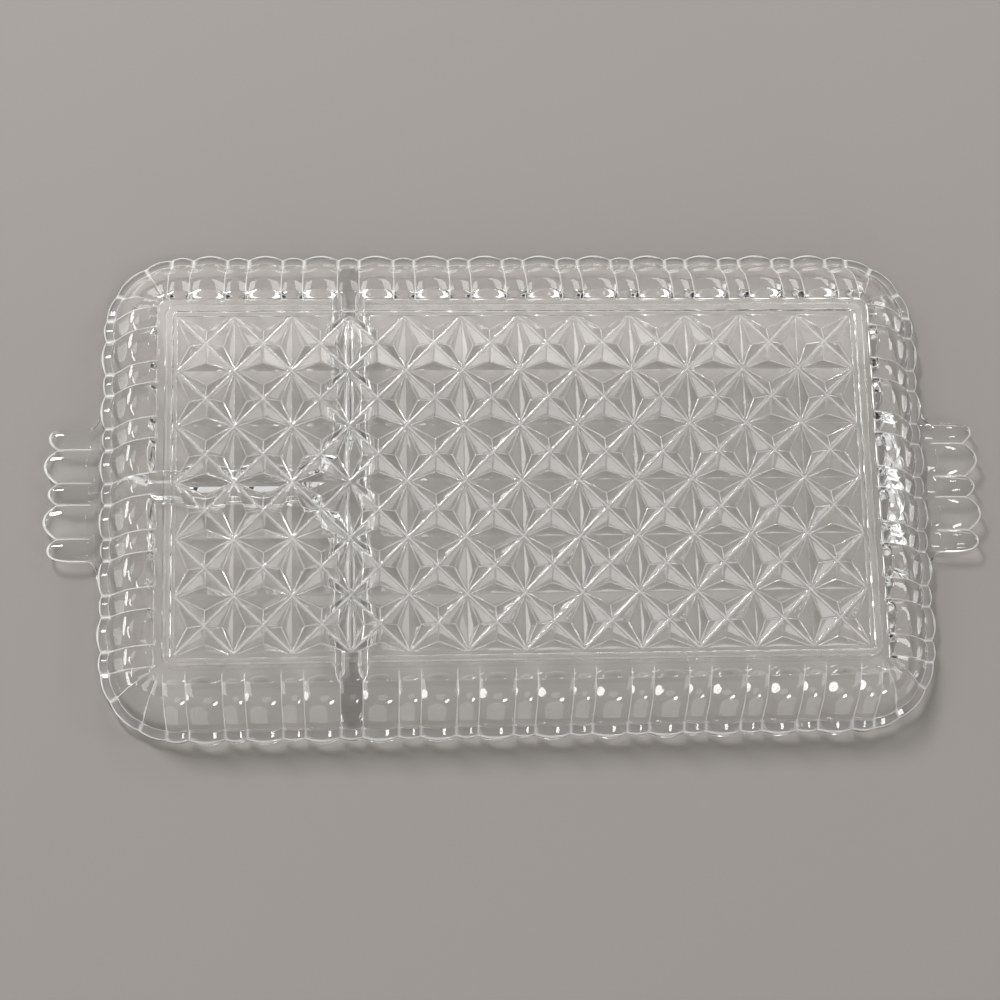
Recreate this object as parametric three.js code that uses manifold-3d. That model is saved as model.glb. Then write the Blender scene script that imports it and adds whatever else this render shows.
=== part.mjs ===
// A clear pressed-glass divided serving dish, standing upright on its foot ring.
// Millimetres, +Z up out of the wells, +X along the dish towards the large well.
// The origin is the middle of the foot ring's resting plane.
// The glass is modelled as the sections of its mould, which meet with a hairline seam.

import * as THREE from 'three';
import Module from 'manifold-3d';
import { mergeVertices } from 'three/addons/utils/BufferGeometryUtils.js';

// Hairline seam between neighbouring sections.
const seam = 0.3;

// Star pattern pressed into the underside: a star on every corner of a square grid.
const starPitch = 20;
const starColumns = 12;
const starRows = 6;
const starPitDepth = 3.8;
const starRecess = 0.3;

// Base plate and the foot ring on the plain band round the stars.
const floorThickness = 6.8;
const footHeight = 1.2;
const footInset = 1.2;
const footWidth = 3.2;
const footCornerRadius = 4.4;
const cornerSteps = 4;

// Fluted wall, from its foot on the base plate's edge to its scalloped lip.
const dishHeight = 23;
const wallFootRadius = 2.2;
const wallToeRun = 1;
const rimTopWidth = 4.5;
const shoulderStart = 1;
const shoulderRun = 3.5;
const shoulderRise = 1.6;
const rimRadius = 23.4;
const lipWidth = 3.5;
const lipRise = 1.2;
const lipThickness = 3.2;
const rimChamfer = 0.8;

// Flutes: a narrow one on every grid line and a wide one between them.
const narrowFluteWidth = 7.6;
const narrowFluteRise = 1;
const narrowFluteSteps = 3;
const wideFluteRise = 1.7;
const wideFluteSteps = 4;

// Corner flutes: two flat ones beside a broad one, on a rim that tucks in from the square.
const cornerSideWidth = 10.3;
const cornerSideRise = 0.6;
const cornerSideSteps = 3;
const cornerMiddleWidth = 15.3;
const cornerMiddleRise = 0.8;
const cornerMiddleSteps = 6;
const cornerTuck = 1.6;
const cornerTuckPower = 0.75;

// Dividers: one across the dish, and a branch from it to the left wall.
const crossDividerCells = 3;
const dividerHeight = 12.3;
const dividerFootHalfWidth = 5.2;
const dividerTopHalfWidth = 2.6;
const dividerCrownHalfWidth = 1.4;
const dividerCrownRise = 1.4;
const junctionFlareRadius = 17;
const junctionFlareSteps = 8;

// Tab handles with five lobes, narrow ones on the grid lines.
const handleLobes = 5;
const handleLength = 15.8;
const handleThickness = 4.4;
const handleDrop = 1;
const handleEdge = 1.5;
const narrowLobeReach = 2;
const wideLobeReach = 2.9;
const lobeRise = 1.1;
const lobeSideWidth = 0.5;
const webReach = 7.5;
const webSpread = 10;
const webThickness = 2.4;
const webSteps = 6;
const webEndReach = 0.6;

// Values worked out from the sizes above.
const wideFluteWidth = starPitch - narrowFluteWidth;
const patternHalfLength = (starColumns * starPitch) / 2;
const patternHalfWidth = (starRows * starPitch) / 2;
const cornerX = patternHalfLength + narrowFluteWidth / 2;
const cornerY = patternHalfWidth + narrowFluteWidth / 2;
const floorTop = footHeight + floorThickness;
const crossDividerX = crossDividerCells * starPitch - patternHalfLength;
const shoulderEnd = new THREE.Vector2(wallFootRadius + shoulderRun, footHeight + shoulderRise);
const lipStart = new THREE.Vector2(rimRadius - lipWidth, dishHeight - lipThickness - lipRise);
const wallRun = lipStart.clone().sub(shoulderEnd);
const wallNormal = new THREE.Vector2(wallRun.y, -wallRun.x).normalize();
const wallToe = new THREE.Vector2(wallFootRadius + seam + wallToeRun, floorTop);
const rimInnerEdge = new THREE.Vector2(rimRadius - rimChamfer - rimTopWidth, dishHeight);
const narrowFlute = {
  width: narrowFluteWidth, rise: narrowFluteRise, steps: narrowFluteSteps, reach: narrowLobeReach,
};
const wideFlute = {
  width: wideFluteWidth, rise: wideFluteRise, steps: wideFluteSteps, reach: wideLobeReach,
};
const cornerSideFlute = { width: cornerSideWidth, rise: cornerSideRise, steps: cornerSideSteps };
const cornerMiddleFlute = { width: cornerMiddleWidth, rise: cornerMiddleRise, steps: cornerMiddleSteps };

const wasm = await Module();
wasm.setup();

// Clear soda-lime glass.
function clearGlass() {
  return new THREE.MeshStandardMaterial({ color: 0xe4ebea, roughness: 0.06, metalness: 0 });
}

// Signed volume of an indexed triangle mesh, positive when its faces point out.
function signedVolume(points, triangles) {
  const cross = new THREE.Vector3();
  let sum = 0;
  for (const [a, b, c] of triangles) {
    sum += points[a].dot(cross.crossVectors(points[b], points[c]));
  }
  return sum / 6;
}

// Closed geometry from points and triangles, with its faces turned outwards.
function closedGeometry(points, triangles) {
  const outward = signedVolume(points, triangles) > 0;
  const geometry = new THREE.BufferGeometry().setFromPoints(points);
  geometry.setIndex(triangles.flatMap(([a, b, c]) => (outward ? [a, b, c] : [a, c, b])));
  geometry.computeVertexNormals();
  return geometry;
}

// Triangles across an outline in any shape.
function flatCap(outline) {
  return THREE.ShapeUtils.triangulateShape(outline, []);
}

// Triangles across an outline whose second half mirrors its first, in level strips, so that the
// end face may bend at each level.
function levelCap(outline) {
  const last = outline.length - 1;
  const triangles = [];
  for (let i = 0; i < (last - 1) / 2; i += 1) {
    triangles.push([i, i + 1, last - i - 1], [i, last - i - 1, last - i]);
  }
  return triangles;
}

// Solid swept through a row of sections with equally many points. Each section has a flat
// outline, and its place function carries an outline point to its place in the dish.
function loft(sections, cap = flatCap) {
  const count = sections[0].outline.length;
  const points = sections.flatMap(({ outline, place }) => outline.map((point) => place(point)));
  const triangles = [];
  for (let k = 0; k + 1 < sections.length; k += 1) {
    for (let i = 0; i < count; i += 1) {
      const a = k * count + i;
      const b = k * count + ((i + 1) % count);
      triangles.push([a, b, b + count], [a, b + count, a + count]);
    }
  }
  const last = (sections.length - 1) * count;
  for (const [a, b, c] of cap(sections[0].outline)) {
    triangles.push([a, c, b]);
  }
  for (const [a, b, c] of cap(sections.at(-1).outline)) {
    triangles.push([last + a, last + b, last + c]);
  }
  return closedGeometry(points, triangles);
}

// Rectangle with rounded corners, centred on the origin.
function roundedRectangle(halfLength, halfWidth, radius, PathType = THREE.Shape) {
  const path = new PathType();
  path.moveTo(halfLength, radius - halfWidth);
  path.absarc(halfLength - radius, halfWidth - radius, radius, 0, Math.PI / 2);
  path.absarc(radius - halfLength, halfWidth - radius, radius, Math.PI / 2, Math.PI);
  path.absarc(radius - halfLength, radius - halfWidth, radius, Math.PI, 1.5 * Math.PI);
  path.absarc(halfLength - radius, radius - halfWidth, radius, 1.5 * Math.PI, 2 * Math.PI);
  return path;
}

// Solid body for joining and cutting.
function toSolid(geometry) {
  const bare = geometry.clone();
  bare.deleteAttribute('normal');
  bare.deleteAttribute('uv');
  const merged = mergeVertices(bare);
  const vertProperties = new Float32Array(merged.attributes.position.array);
  const triVerts = new Uint32Array(merged.index.array);
  return new wasm.Manifold(new wasm.Mesh({ numProp: 3, vertProperties, triVerts }));
}

// Geometry of a joined or cut body.
function toGeometry(solid) {
  const mesh = solid.getMesh();
  const geometry = new THREE.BufferGeometry();
  geometry.setAttribute('position', new THREE.BufferAttribute(mesh.vertProperties, 3));
  geometry.setIndex(new THREE.BufferAttribute(mesh.triVerts, 1));
  geometry.computeVertexNormals();
  return geometry;
}

// The space under the stars: its top is the faceted relief, its bottom is flat and below the plate.
// The sides and diagonals of every cell are ridges, and each triangle between them is a pit with
// three equally steep faces, so that its deepest point is as far from all three ridges.
function starHollow() {
  const ridge = footHeight + starRecess;
  const bottom = footHeight - floorThickness;
  const points = [];
  const triangles = [];
  const half = starPitch / 2;
  const pitOut = half * (2 - Math.SQRT2);
  const sides = [[1, 0], [0, 1], [-1, 0], [0, -1]];
  const add = (x, y, z) => points.push(new THREE.Vector3(x, y, z)) - 1;
  for (let column = 0; column < starColumns; column += 1) {
    for (let row = 0; row < starRows; row += 1) {
      const x = (column + 0.5) * starPitch - patternHalfLength;
      const y = (row + 0.5) * starPitch - patternHalfWidth;
      for (const [ux, uy] of sides) {
        const place = (out, along, z) => add(x + out * ux - along * uy, y + out * uy + along * ux, z);
        const centre = place(0, 0, ridge);
        const pit = place(pitOut, 0, ridge + starPitDepth);
        const starA = place(half, -half, ridge);
        const starB = place(half, half, ridge);
        triangles.push([centre, starA, pit], [centre, pit, starB], [starA, starB, pit]);
        const lowA = place(half, -half, bottom);
        const lowB = place(half, half, bottom);
        const lowCentre = place(0, 0, bottom);
        triangles.push([lowCentre, lowB, lowA]);
        const onBorder = ux * (column * 2 + 1 - starColumns) === starColumns - 1
          || uy * (row * 2 + 1 - starRows) === starRows - 1;
        if (onBorder) {
          triangles.push([starA, lowA, lowB], [starA, lowB, starB]);
        }
      }
    }
  }
  return closedGeometry(points, triangles);
}

// Flat floor of the dish with the stars in its underside.
function basePlate() {
  const outline = roundedRectangle(cornerX + wallFootRadius, cornerY + wallFootRadius, wallFootRadius);
  const plate = new THREE.ExtrudeGeometry(outline, {
    depth: floorThickness, bevelEnabled: false, curveSegments: cornerSteps,
  });
  plate.translate(0, 0, footHeight);
  return toGeometry(toSolid(plate).subtract(toSolid(starHollow())));
}

// Raised frame that the dish stands on.
function footRing() {
  const inner = [patternHalfLength + footInset, patternHalfWidth + footInset];
  const outer = inner.map((size) => size + footWidth);
  const frame = roundedRectangle(...outer, footCornerRadius);
  frame.holes.push(roundedRectangle(...inner, footCornerRadius - footWidth, THREE.Path));
  return new THREE.ExtrudeGeometry(frame, {
    depth: footHeight - seam, bevelEnabled: false, curveSegments: cornerSteps,
  });
}

// Distance of the wall's smooth inner face from the corner axis at a height.
function innerWallAt(z) {
  return THREE.MathUtils.mapLinear(z, wallToe.y, rimInnerEdge.y, wallToe.x, rimInnerEdge.x);
}

// Section of the wall: distance from the corner axis and height. The bulge of a flute pushes the
// outer points out, and spread narrows it where a corner's flutes draw together.
function wallSection(bulge, spread) {
  const share = (radius) => bulge * (spread ? radius / rimRadius : 1);
  const shoulder = shoulderEnd.clone().addScaledVector(wallNormal, share(shoulderEnd.x));
  const lip = lipStart.clone().addScaledVector(wallNormal, share(lipStart.x));
  const rim = rimRadius + share(rimRadius);
  return [
    new THREE.Vector2(wallFootRadius + seam, footHeight),
    new THREE.Vector2(wallFootRadius + shoulderStart, footHeight),
    shoulder,
    lip,
    new THREE.Vector2(rim, dishHeight - lipThickness),
    new THREE.Vector2(rim, dishHeight - rimChamfer),
    new THREE.Vector2(rim - rimChamfer, dishHeight),
    rimInnerEdge,
    wallToe,
    new THREE.Vector2(wallFootRadius + seam, floorTop),
  ];
}

// Places along a row of flutes, counted from its middle, with the crown of the flute at each:
// 0 on the crease between two flutes and 1 on a flute's middle.
function fluteStations(flutes) {
  const half = flutes.reduce((sum, flute) => sum + flute.width, 0) / 2;
  const stations = [{ along: -half, crown: 0, flute: flutes[0] }];
  let start = -half;
  for (const flute of flutes) {
    for (let step = 1; step <= flute.steps; step += 1) {
      const t = step / flute.steps;
      stations.push({ along: start + t * flute.width, crown: 4 * t * (1 - t), flute });
    }
    start += flute.width;
  }
  return stations;
}

// Flutes of a straight wall over a number of star cells: narrow ones at both ends.
function straightFlutes(cells) {
  return Array.from({ length: 2 * cells + 1 }, (_, k) => (k % 2 ? wideFlute : narrowFlute));
}

// Straight fluted wall along its own X axis, with its outside towards its own -Y.
function straightWall(cells, cornerDistance) {
  const end = (cells * starPitch + narrowFluteWidth) / 2 - seam;
  const sections = fluteStations(straightFlutes(cells)).map(({ along, crown, flute }) => ({
    outline: wallSection(crown * flute.rise, false),
    place: (point) => new THREE.Vector3(
      THREE.MathUtils.clamp(along, -end, end), -cornerDistance - point.x, point.y),
  }));
  return loft(sections);
}

// Distance of an end wall's scalloped rim from the corner axis, at a place along the wall.
function endRimAt(along) {
  const stations = fluteStations(straightFlutes(starRows));
  const next = Math.max(1, stations.findIndex((station) => station.along >= along));
  const [a, b] = [stations[next - 1], stations[next]];
  const bulge = THREE.MathUtils.mapLinear(
    along, a.along, b.along, a.crown * a.flute.rise, b.crown * b.flute.rise);
  return rimRadius + bulge;
}

// Quarter turn of the wall round a corner axis, from its own +X to its own +Y.
function cornerWall() {
  const flutes = [cornerSideFlute, cornerMiddleFlute, cornerSideFlute];
  const arc = flutes.reduce((sum, flute) => sum + flute.width, 0);
  const foot = wallFootRadius + seam;
  const sections = fluteStations(flutes).map(({ along, crown, flute }) => {
    const angle = (along / arc + 0.5) * (Math.PI / 2);
    const tuck = cornerTuck * Math.max(0, Math.sin(2 * angle)) ** cornerTuckPower;
    const squeeze = 1 - tuck / (rimRadius - foot);
    return {
      outline: wallSection(crown * flute.rise, true),
      place: (point) => {
        const radius = foot + (point.x - foot) * squeeze;
        return new THREE.Vector3(radius * Math.cos(angle), radius * Math.sin(angle), point.y);
      },
    };
  });
  return loft(sections);
}

// Section of a divider: distance from its middle plane and height, widened by a flare.
function dividerSection(flare) {
  const foot = floorTop + seam;
  const top = foot + dividerHeight;
  const half = [
    new THREE.Vector2(dividerFootHalfWidth + flare, foot),
    new THREE.Vector2(dividerTopHalfWidth + flare, top - dividerCrownRise),
    new THREE.Vector2(dividerCrownHalfWidth + flare, top),
  ];
  const mirrored = half.map((point) => new THREE.Vector2(-point.x, point.y)).reverse();
  return [...half, ...mirrored];
}

// Divider across the dish, with ends that lie along the sloping walls.
function crossDivider() {
  const ends = [-1, 1].map((side) => ({
    outline: dividerSection(0),
    place: (point) => new THREE.Vector3(
      crossDividerX + point.x, side * (cornerY + innerWallAt(point.y) - seam), point.y),
  }));
  return loft(ends, levelCap);
}

// Divider between the two small wells, flared where it meets the divider across the dish.
function branchDivider() {
  const wallEnd = {
    outline: dividerSection(0),
    place: (point) => new THREE.Vector3(
      seam - cornerX - innerWallAt(point.y), point.x, point.y),
  };
  const flareStart = crossDividerX - dividerFootHalfWidth - seam - junctionFlareRadius;
  const sections = [wallEnd];
  for (let step = 0; step < junctionFlareSteps; step += 1) {
    const run = (step / junctionFlareSteps) * junctionFlareRadius;
    const flare = junctionFlareRadius - Math.sqrt(junctionFlareRadius ** 2 - run ** 2);
    sections.push({
      outline: dividerSection(flare),
      place: (point) => new THREE.Vector3(flareStart + run, point.x, point.y),
    });
  }
  const straight = dividerSection(0);
  sections.push({
    outline: dividerSection(junctionFlareRadius),
    place: (point) => {
      const sameHeight = straight.find((other) => other.y === point.y);
      return new THREE.Vector3(crossDividerX - sameHeight.x - seam, point.x, point.y);
    },
  });
  return loft(sections, levelCap);
}

// Section of a handle: distance from the corner axis and height, from the rim to the lobe's tip.
function handleSection(root, reach, thickness) {
  const top = dishHeight - handleDrop;
  const under = top - thickness;
  const edge = Math.min(handleEdge, reach / 3);
  const tip = root + reach;
  return [
    new THREE.Vector2(root, dishHeight - lipThickness),
    new THREE.Vector2(root + 2 * edge, under),
    new THREE.Vector2(tip - edge, under),
    new THREE.Vector2(tip, (top + under) / 2),
    new THREE.Vector2(tip - edge, top),
    new THREE.Vector2(root, top),
  ];
}

// Lobed tab handle along its own X axis, reaching out from the rim towards its own -Y. A thin web
// runs out along the rim from each side of the lobes.
function handle() {
  const lobes = Array.from({ length: handleLobes }, (_, k) => (k % 2 ? wideFlute : narrowFlute));
  const stations = fluteStations(lobes).map(({ along, crown, flute }) => ({
    along,
    reach: handleLength + crown * flute.reach,
    thickness: handleThickness + crown * lobeRise,
  }));
  const side = stations.at(-1).along + lobeSideWidth;
  const web = [];
  for (let step = 0; step <= webSteps; step += 1) {
    const angle = (step / webSteps) * (Math.PI / 2);
    web.push({
      along: side + webSpread * (1 - Math.cos(angle)),
      reach: webEndReach + webReach * (1 - Math.sin(angle)),
      thickness: webThickness,
    });
  }
  const otherWeb = web.map((station) => ({ ...station, along: -station.along })).reverse();
  const sections = [...otherWeb, ...stations, ...web].map(({ along, reach, thickness }) => ({
    outline: handleSection(endRimAt(along) + seam, reach, thickness),
    place: (point) => new THREE.Vector3(along, -cornerX - point.x, point.y),
  }));
  return loft(sections);
}

const dish = new THREE.Group();

// Adds a named section of the glass, turned about the upright axis and moved to a place.
function addSection(name, geometry, turn = 0, x = 0, y = 0) {
  const mesh = new THREE.Mesh(geometry, clearGlass());
  mesh.name = name;
  mesh.rotation.z = turn;
  mesh.position.set(x, y, 0);
  dish.add(mesh);
}

const quarter = Math.PI / 2;
addSection('base_plate', basePlate());
addSection('foot_ring', footRing());
addSection('front_wall', straightWall(starColumns, cornerY));
addSection('back_wall', straightWall(starColumns, cornerY), 2 * quarter);
addSection('right_wall', straightWall(starRows, cornerX), quarter);
addSection('left_wall', straightWall(starRows, cornerX), -quarter);
addSection('back_right_corner', cornerWall(), 0, cornerX, cornerY);
addSection('back_left_corner', cornerWall(), quarter, -cornerX, cornerY);
addSection('front_left_corner', cornerWall(), 2 * quarter, -cornerX, -cornerY);
addSection('front_right_corner', cornerWall(), 3 * quarter, cornerX, -cornerY);
addSection('cross_divider', crossDivider());
addSection('branch_divider', branchDivider());
addSection('right_handle', handle(), quarter);
addSection('left_handle', handle(), -quarter);

export default dish;
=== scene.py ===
"""Looks of a divided serving dish: one pressing of clear glass with a star-pattern base.

The frame holds the dish upright. The photograph shows it lying face down, seen on its underside,
so the camera stands below the dish and looks up, and the stage has a pale sheet on either side.
"""

import logging
import math
from contextlib import contextmanager
from dataclasses import dataclass
from enum import Enum
from typing import Iterator, Sequence

import bmesh
import bpy
import numpy as np
from mathutils import Matrix, Vector


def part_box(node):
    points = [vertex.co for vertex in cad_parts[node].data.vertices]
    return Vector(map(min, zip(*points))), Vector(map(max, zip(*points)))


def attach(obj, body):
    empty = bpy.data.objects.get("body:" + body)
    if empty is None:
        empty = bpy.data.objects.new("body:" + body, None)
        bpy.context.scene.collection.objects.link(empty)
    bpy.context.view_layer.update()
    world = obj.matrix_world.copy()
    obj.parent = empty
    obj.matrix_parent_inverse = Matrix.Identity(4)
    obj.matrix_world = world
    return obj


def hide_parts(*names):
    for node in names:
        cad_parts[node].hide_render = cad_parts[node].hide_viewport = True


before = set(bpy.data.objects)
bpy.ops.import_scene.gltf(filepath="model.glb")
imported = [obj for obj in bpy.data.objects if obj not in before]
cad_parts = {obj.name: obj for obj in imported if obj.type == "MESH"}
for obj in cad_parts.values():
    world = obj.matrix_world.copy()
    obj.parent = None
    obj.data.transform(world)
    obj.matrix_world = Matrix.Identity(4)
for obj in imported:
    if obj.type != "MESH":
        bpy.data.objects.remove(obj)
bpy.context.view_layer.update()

MM = 0.001
# Copies of a piece join where their points lie within WELD. Points within TOUCH are the same point.
WELD = 0.01 * MM
TOUCH = 0.001 * MM
# Mesh attribute of painted highlights: pale lines on valleys, crests, creases and edges, and a fainter
# painted light on the lip.
PAINTED_HIGHLIGHT = "line"
LOG = logging.getLogger("dish")

Point2 = tuple[float, float]
Point3 = tuple[float, float, float]


def linear(hex_colour: str) -> tuple[float, float, float, float]:
    """Turn an sRGB colour into the linear values that shaders take.

    Args:
        hex_colour: Colour as #RRGGBB.

    Returns:
        Linear red, green and blue, with an alpha of 1.
    """
    channels = [int(hex_colour[i:i + 2], 16) / 255 for i in (1, 3, 5)]
    return (*(c / 12.92 if c <= 0.04045 else ((c + 0.055) / 1.055) ** 2.4 for c in channels), 1.0)


def add_node(tree: bpy.types.NodeTree, kind: str, inputs: dict | None = None, **settings) -> bpy.types.Node:
    """Add a node with its settings and links.

    Args:
        tree: Tree that gets the node.
        kind: Blender's name for the node's type.
        inputs: Value or output socket for each input, by the input's name or number.
        settings: The node's own properties.

    Returns:
        The new node.
    """
    node = tree.nodes.new(kind)
    for name, value in settings.items():
        setattr(node, name, value)
    for key, value in (inputs or {}).items():
        if isinstance(value, bpy.types.NodeSocket):
            tree.links.new(value, node.inputs[key])
        else:
            node.inputs[key].default_value = value
    return node


def mesh_object(name: str, points: Sequence[Point3], faces: Sequence[Sequence[int]]) -> bpy.types.Object:
    """Make a linked mesh object whose place is in its points.

    Args:
        name: Name of the object.
        points: Corners, in metres.
        faces: Corner numbers of each face.

    Returns:
        The new object.
    """
    mesh = bpy.data.meshes.new(name)
    mesh.from_pydata([tuple(map(float, p)) for p in points], [], [tuple(map(int, f)) for f in faces])
    piece = bpy.data.objects.new(name, mesh)
    bpy.context.scene.collection.objects.link(piece)
    return piece


def mark(mesh: bpy.types.Mesh, attribute: str, values: Sequence[float]) -> None:
    """Write a value for each point of a mesh as an attribute."""
    mesh.attributes.new(attribute, "FLOAT", "POINT").data.foreach_set("value", list(map(float, values)))


@contextmanager
def edited(mesh: bpy.types.Mesh) -> Iterator[bmesh.types.BMesh]:
    """Open a mesh for editing and write it back afterwards.

    Args:
        mesh: Mesh to edit.

    Yields:
        The mesh's shape, ready for Blender's mesh operators.
    """
    shape = bmesh.new()
    shape.from_mesh(mesh)
    yield shape
    shape.to_mesh(mesh)
    shape.free()


def close_up(shape: bmesh.types.BMesh) -> None:
    """Fill a shape's open rims and turn its faces outwards."""
    bmesh.ops.holes_fill(shape, edges=[edge for edge in shape.edges if edge.is_boundary], sides=0)
    bmesh.ops.recalc_face_normals(shape, faces=shape.faces)


def split_large_faces(shape: bmesh.types.BMesh) -> None:
    """Cut every face of more than four corners into triangles."""
    bmesh.ops.triangulate(shape, faces=[face for face in shape.faces if len(face.verts) > 4])


def evaluated_mesh(piece: bpy.types.Object, name: str) -> bpy.types.Mesh:
    """Turn a piece and its modifiers into a plain mesh.

    Args:
        piece: Object with live modifiers.
        name: Name of the new mesh.

    Returns:
        The plain mesh.
    """
    bpy.context.view_layer.update()
    graph = bpy.context.evaluated_depsgraph_get()
    mesh = bpy.data.meshes.new_from_object(piece.evaluated_get(graph), depsgraph=graph)
    mesh.name = name
    return mesh


def discard(*pieces: bpy.types.Object) -> None:
    """Remove helper objects that the finished glass no longer needs."""
    for piece in pieces:
        bpy.data.objects.remove(piece)


def rounded(points: Sequence[Point2], radii: Sequence[float], steps: int) -> np.ndarray:
    """Round the corners of an open outline with arcs.

    Args:
        points: Corners of the outline.
        radii: Radius of each corner, where 0 keeps it sharp.
        steps: Steps along each arc.

    Returns:
        Points of the rounded outline, one row each.
    """
    corners = [np.array(p, float) for p in points]
    outline = []
    for k, (corner, radius) in enumerate(zip(corners, radii)):
        if radius <= 0:
            outline.append(corner)
            continue
        before = corners[k - 1] - corner
        after = corners[(k + 1) % len(corners)] - corner
        room = min(np.linalg.norm(before), np.linalg.norm(after)) / 2
        before = before / np.linalg.norm(before)
        after = after / np.linalg.norm(after)
        half_angle = math.acos(float(np.clip(before @ after, -1, 1))) / 2
        radius = min(radius, room * math.tan(half_angle))
        bisector = (before + after) / np.linalg.norm(before + after)
        centre = corner + bisector * radius / math.sin(half_angle)
        start = corner + before * radius / math.tan(half_angle) - centre
        end = corner + after * radius / math.tan(half_angle) - centre
        sweep = math.atan2(start[0] * end[1] - start[1] * end[0], float(start @ end))
        for step in range(steps + 1):
            turn = sweep * step / steps
            spin = np.array([[math.cos(turn), -math.sin(turn)], [math.sin(turn), math.cos(turn)]])
            outline.append(centre + spin @ start)
    return np.array(outline)


def skin(rings: np.ndarray, *, loop: bool, tube: bool, caps: bool = False) -> tuple[np.ndarray, list]:
    """Join a row of rings of points with quads.

    Args:
        rings: Points by ring and by place in the ring.
        loop: Whether the last ring joins the first.
        tube: Whether each ring is closed.
        caps: Whether the first and last ring are filled.

    Returns:
        The points and the faces.
    """
    count, size = rings.shape[:2]
    faces = []
    for k in range(count if loop else count - 1):
        for i in range(size if tube else size - 1):
            a, b = k * size + i, k * size + (i + 1) % size
            c, d = ((k + 1) % count) * size + (i + 1) % size, ((k + 1) % count) * size + i
            faces.append((a, b, c, d))
    if caps:
        faces += [tuple(range(size)), tuple(range((count - 1) * size, count * size))]
    return rings.reshape(-1, 3), faces


def face_outwards(piece: bpy.types.Object) -> None:
    """Weld a piece's doubles and turn its faces outwards.

    Args:
        piece: Object whose mesh is changed.
    """
    with edited(piece.data) as shape:
        bmesh.ops.remove_doubles(shape, verts=shape.verts, dist=TOUCH)
        bmesh.ops.recalc_face_normals(shape, faces=shape.faces)


def swept_body(name: str, rings: np.ndarray, *, loop: bool = False) -> bpy.types.Object:
    """Make a closed body from closed rings of points.

    Args:
        name: Name of the body.
        rings: Points by ring and by place in the ring.
        loop: Whether the rings go round, instead of ending in two filled ones.

    Returns:
        The body, with its faces outwards.
    """
    body = mesh_object(name, *skin(rings, loop=loop, tube=True, caps=not loop))
    face_outwards(body)
    return body


class Join(Enum):
    """Ways to bring a second body to a first."""

    ADD = "UNION"
    CUT = "DIFFERENCE"


def combine(body: bpy.types.Object, other: bpy.types.Object, join: Join) -> None:
    """Add a boolean of a second closed body to the first body's modifiers.

    Args:
        body: Body that gets the modifier.
        other: Body that is added or cut away, which has to stay until the modifier is used.
        join: How the two are brought together.
    """
    modifier = body.modifiers.new(other.name, "BOOLEAN")
    modifier.operation = join.value
    modifier.solver = "MANIFOLD"
    modifier.object = other


@dataclass(frozen=True)
class Place:
    """Where one copy of a repeated piece goes: its origin and its turn about the upright axis."""

    x: float
    y: float
    turn: float = 0.0


class Repeater:
    """Geometry Nodes tree that sets a piece on a list of places and welds the copies together."""

    TURN = "turn"

    def __init__(self) -> None:
        """Build the tree once."""
        tree = bpy.data.node_groups.new("RepeatPressedPiece", "GeometryNodeTree")
        self.tree = tree
        self.sockets = {
            name: tree.interface.new_socket(name, in_out="INPUT", socket_type=kind).identifier
            for name, kind in (
                ("Places", "NodeSocketGeometry"), ("Piece", "NodeSocketObject"),
                ("Weld Distance", "NodeSocketFloat"), ("Finish", "NodeSocketMaterial"))}
        tree.interface.new_socket("Glass", in_out="OUTPUT", socket_type="NodeSocketGeometry")
        entry = add_node(tree, "NodeGroupInput").outputs
        piece = add_node(tree, "GeometryNodeObjectInfo", {"Object": entry["Piece"]}).outputs["Geometry"]
        turn = add_node(tree, "GeometryNodeInputNamedAttribute", {"Name": self.TURN}, data_type="FLOAT")
        spin = add_node(tree, "ShaderNodeCombineXYZ", {"Z": turn.outputs["Attribute"]})
        copies = add_node(tree, "GeometryNodeInstanceOnPoints", {
            "Points": entry["Places"], "Instance": piece, "Rotation": spin.outputs["Vector"]})
        real = add_node(tree, "GeometryNodeRealizeInstances", {"Geometry": copies.outputs["Instances"]})
        whole = add_node(tree, "GeometryNodeMergeByDistance", {
            "Geometry": real.outputs["Geometry"], "Distance": entry["Weld Distance"]})
        dressed = add_node(tree, "GeometryNodeSetMaterial", {
            "Geometry": whole.outputs["Geometry"], "Material": entry["Finish"]})
        add_node(tree, "NodeGroupOutput", {"Glass": dressed.outputs["Geometry"]})

    def repeat(self, name: str, piece: bpy.types.Object, places: Sequence[Place],
               finish: bpy.types.Material) -> bpy.types.Object:
        """Set a piece on places and weld the copies.

        Args:
            name: Name of the result.
            piece: Object to copy, which is discarded afterwards.
            places: Where the copies go.
            finish: Material of the result.

        Returns:
            A plain mesh object.
        """
        points = mesh_object(name + "_places", [(p.x, p.y, 0.0) for p in places], [])
        mark(points.data, self.TURN, [p.turn for p in places])
        modifier = points.modifiers.new("Repeat", "NODES")
        modifier.node_group = self.tree
        modifier[self.sockets["Piece"]] = piece
        modifier[self.sockets["Weld Distance"]] = WELD
        modifier[self.sockets["Finish"]] = finish
        result = bpy.data.objects.new(name, evaluated_mesh(points, name))
        bpy.context.scene.collection.objects.link(result)
        discard(points, piece)
        return result


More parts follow.
